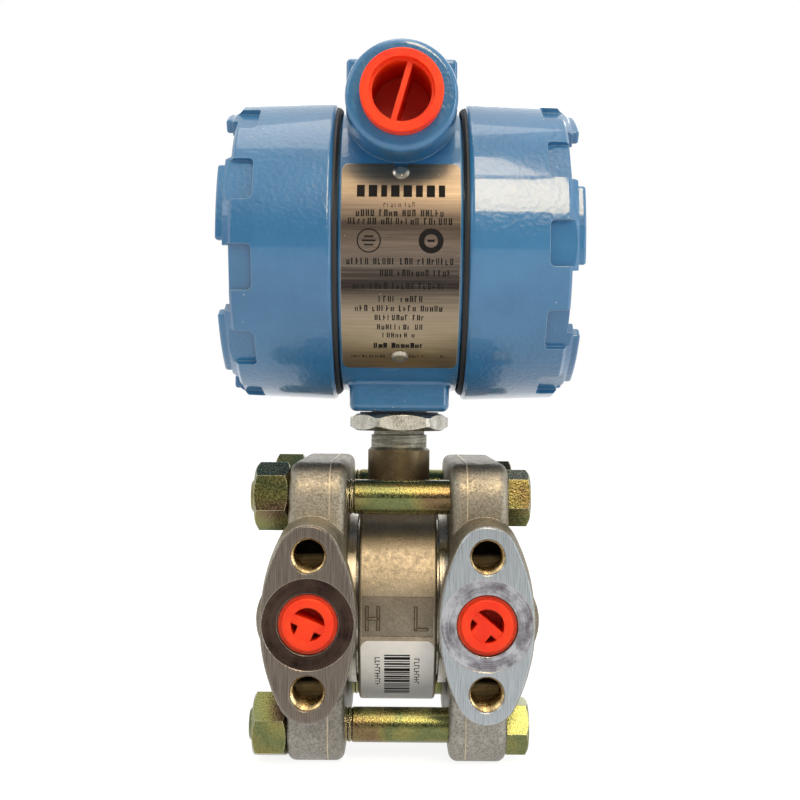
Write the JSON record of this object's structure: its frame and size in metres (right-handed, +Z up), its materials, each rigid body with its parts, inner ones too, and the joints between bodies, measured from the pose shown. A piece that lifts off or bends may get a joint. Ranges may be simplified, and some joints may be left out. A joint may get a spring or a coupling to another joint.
{
  "type": "differential pressure transmitter",
  "caption": "Differential pressure transmitter: round two-compartment housing with screw covers on a sensor module clamped between bolted process flanges.",
  "frame": {"origin": "on the resting surface, under the neck axis, midway between the process flanges", "axes": "+Z up along the neck, process connections and nameplate towards -Y, high-pressure side -X and low-pressure side +X"},
  "size_m": [0.115, 0.125, 0.2291],
  "materials": {
    "cast_stainless": "bead-blasted cast stainless steel, warm grey, fine grain",
    "cast_stainless_flange": "cast stainless steel, satin, with brushed machined pads",
    "machined_stainless": "turned stainless steel, bright, fine circular tool marks",
    "blasted_steel": "matt machined steel",
    "brushed_plate": "thin stainless sheet, lengthwise brushed grain",
    "yellow_zinc": "yellow chromated zinc plate with iridescent patches",
    "blue_paint": "glossy blue enamel with slight orange peel",
    "red_plastic": "bright orange-red moulded plastic, satin gloss",
    "black_rubber": "black rubber, slightly shiny",
    "ptfe": "white PTFE, matt",
    "white_label": "white adhesive film, satin",
    "brass": "turned brass",
    "black_moulding": "black phenolic moulding, satin",
    "plated_screw": "nickel plated steel",
    "circuit_board": "green solder-masked laminate"
  },
  "bodies": {
    "sensor": {"sensor_module": "cast_stainless", "isolator_high": "machined_stainless", "isolator_low": "machined_stainless", "diaphragm_high": "machined_stainless", "diaphragm_low": "machined_stainless", "flange_seal_high": "ptfe", "flange_seal_low": "ptfe", "flange_high": "cast_stainless_flange", "flange_low": "cast_stainless_flange", "flange_bolts": "yellow_zinc", "flange_nuts": "yellow_zinc", "vent_seat_high": "machined_stainless", "vent_seat_low": "machined_stainless", "serial_label": "white_label"},
    "housing": {"housing": "blue_paint", "nameplate": "brushed_plate", "nameplate_screws": "machined_stainless", "terminal_block": "black_moulding", "terminal_screws": "plated_screw", "ground_screw": "plated_screw", "main_board": "circuit_board", "board_standoffs": "brass", "board_screws": "plated_screw", "board_components": "black_moulding"},
    "lock_nut": {"lock_nut": "blasted_steel", "neck_seal": "black_rubber"},
    "left_cover_seal": {"cover_o_ring_left": "black_rubber"},
    "left_cover": {"cover_left": "blue_paint"},
    "right_cover_seal": {"cover_o_ring_right": "black_rubber"},
    "right_cover": {"cover_right": "blue_paint"},
    "front_conduit_plug": {"conduit_plug_front": "red_plastic"},
    "rear_conduit_plug": {"conduit_plug_rear": "red_plastic"},
    "high_process_plug": {"process_plug_high": "red_plastic"},
    "low_process_plug": {"process_plug_low": "red_plastic"},
    "high_vent_stem": {"vent_stem_high": "machined_stainless"},
    "low_vent_stem": {"vent_stem_low": "machined_stainless"},
    "zero_adjuster": {"zero_screw": "brass"},
    "span_adjuster": {"span_screw": "brass"}
  },
  "joints": [
    {"name": "housing_turn", "type": "hinge", "parent": "sensor", "child": "housing", "pos_m": [0, 0, 0.1117], "axis": [0, 0, 1], "range_deg": [-90, 90]},
    {"name": "lock_nut_turn", "type": "hinge", "parent": "sensor", "child": "lock_nut", "pos_m": [0, 0, 0.1057], "axis": [0, 0, 1], "range_deg": [0, 360]},
    {"name": "left_cover_travel", "type": "slide", "parent": "housing", "child": "left_cover_seal", "axis": [-1, 0, 0], "range_m": [0, 0.0144]},
    {"name": "left_cover_turn", "type": "hinge", "parent": "left_cover_seal", "child": "left_cover", "pos_m": [0, 0, 0.1667], "axis": [-1, 0, 0], "range_deg": [0, 2160]},
    {"name": "right_cover_travel", "type": "slide", "parent": "housing", "child": "right_cover_seal", "axis": [1, 0, 0], "range_m": [0, 0.0144]},
    {"name": "right_cover_turn", "type": "hinge", "parent": "right_cover_seal", "child": "right_cover", "pos_m": [0, 0, 0.1667], "axis": [1, 0, 0], "range_deg": [0, 2160]},
    {"name": "front_conduit_plug_pull", "type": "slide", "parent": "housing", "child": "front_conduit_plug", "axis": [0, -1, 0], "range_m": [0, 0.018]},
    {"name": "rear_conduit_plug_pull", "type": "slide", "parent": "housing", "child": "rear_conduit_plug", "axis": [0, 1, 0], "range_m": [0, 0.018]},
    {"name": "high_process_plug_pull", "type": "slide", "parent": "sensor", "child": "high_process_plug", "axis": [0, -1, 0], "range_m": [0, 0.011]},
    {"name": "low_process_plug_pull", "type": "slide", "parent": "sensor", "child": "low_process_plug", "axis": [0, -1, 0], "range_m": [0, 0.011]},
    {"name": "high_vent_stem_turn", "type": "hinge", "parent": "sensor", "child": "high_vent_stem", "pos_m": [-0.027, 0.051, 0.0477], "axis": [0, 1, 0], "range_deg": [0, 360]},
    {"name": "low_vent_stem_turn", "type": "hinge", "parent": "sensor", "child": "low_vent_stem", "pos_m": [0.027, 0.051, 0.0477], "axis": [0, 1, 0], "range_deg": [0, 360]},
    {"name": "zero_adjuster_turn", "type": "hinge", "parent": "housing", "child": "zero_adjuster", "pos_m": [0, -0.04589, 0.16991], "axis": [0, -0.9976, 0.0698], "continuous": true},
    {"name": "span_adjuster_turn", "type": "hinge", "parent": "housing", "child": "span_adjuster", "pos_m": [0, -0.04265, 0.14947], "axis": [0, -0.9272, -0.3746], "continuous": true}
  ],
  "couplings": [
    {"joint": "left_cover_travel", "follows": "left_cover_turn", "m_per_rad": 0.00038197},
    {"joint": "right_cover_travel", "follows": "right_cover_turn", "m_per_rad": 0.00038197}
  ]
}
